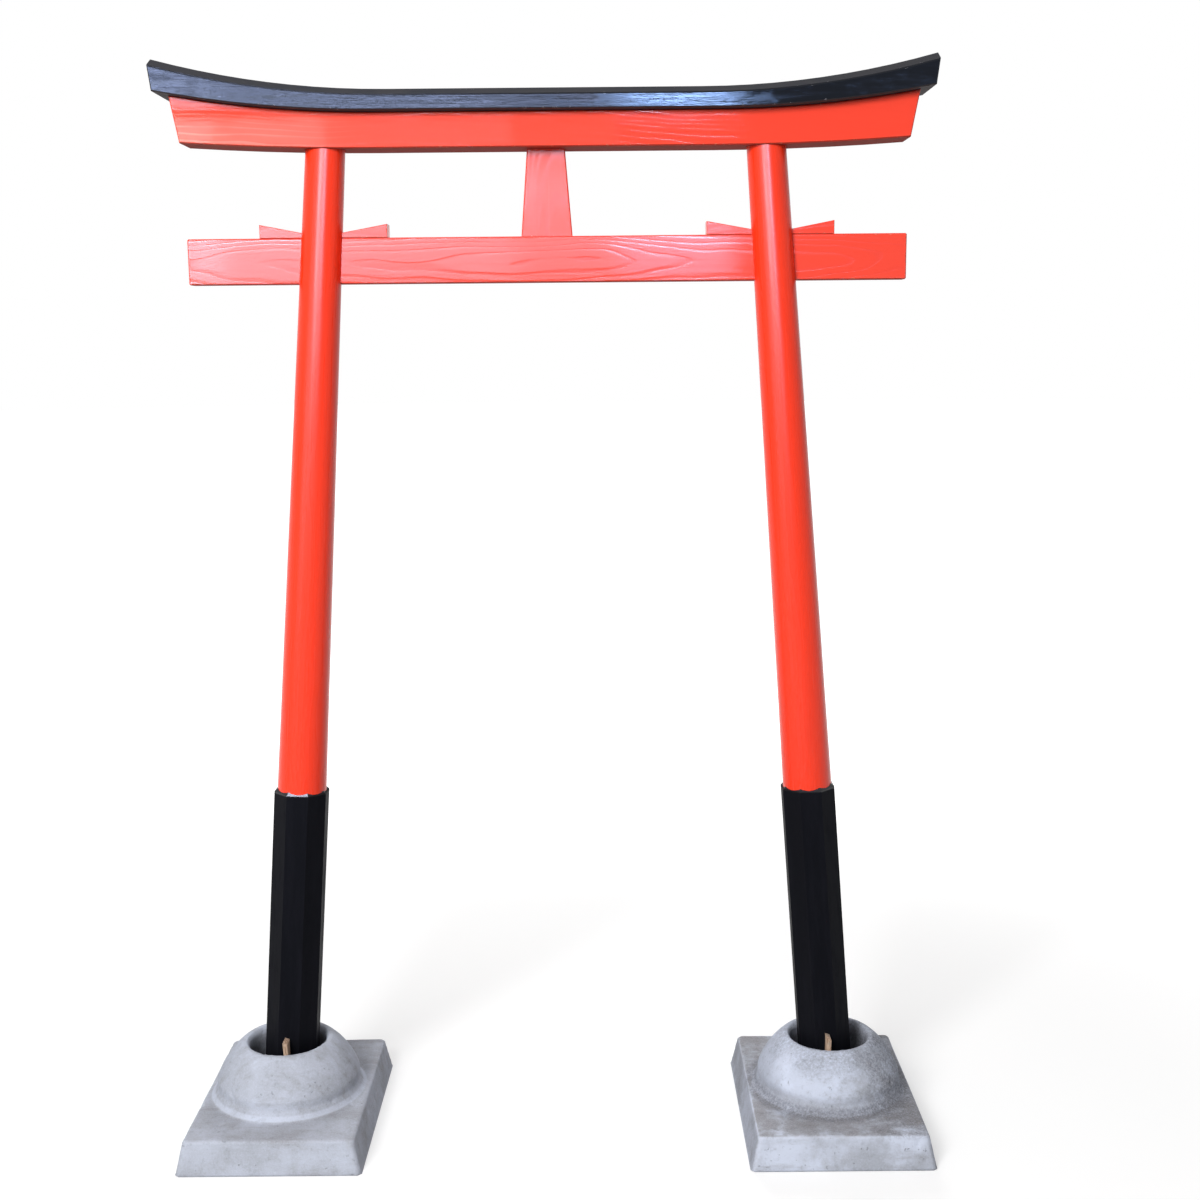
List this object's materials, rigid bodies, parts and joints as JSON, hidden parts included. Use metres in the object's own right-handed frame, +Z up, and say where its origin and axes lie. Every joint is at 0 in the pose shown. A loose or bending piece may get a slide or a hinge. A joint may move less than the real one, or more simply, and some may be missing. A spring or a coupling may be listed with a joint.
{
  "type": "torii gate",
  "caption": "Small free-standing shrine gate: leaning round posts in eight-sided black sleeves on domed concrete blocks, tie beam with wedges, strut, and a red and black swept top beam.",
  "frame": {"origin": "on the ground, midway between the posts and in the middle of the blocks' depth", "axes": "+X along the beams to the right as seen from the front, -Y out of the front, +Z up"},
  "size_m": [1.051, 0.344, 1.5],
  "materials": {
    "red_paint": "glossy vermilion paint over wood grain",
    "black_paint": "satin black lacquer over wood",
    "concrete": "cast grey concrete with stains",
    "raw_wood": "raw split wood"
  },
  "bodies": {
    "root": {"kasagi_cap_beam": "black_paint", "left_foot_sleeve": "black_paint", "right_foot_sleeve": "black_paint", "shimaki_lintel": "red_paint", "nuki_tie_beam": "red_paint", "gakuzuka_strut": "red_paint", "left_post": "red_paint", "right_post": "red_paint", "left_outer_wedge": "red_paint", "left_inner_wedge": "red_paint", "right_outer_wedge": "red_paint", "right_inner_wedge": "red_paint", "left_base_block": "concrete", "right_base_block": "concrete", "left_front_peg": "raw_wood", "left_back_peg": "raw_wood", "right_front_peg": "raw_wood", "right_back_peg": "raw_wood"}
  },
  "joints": []
}
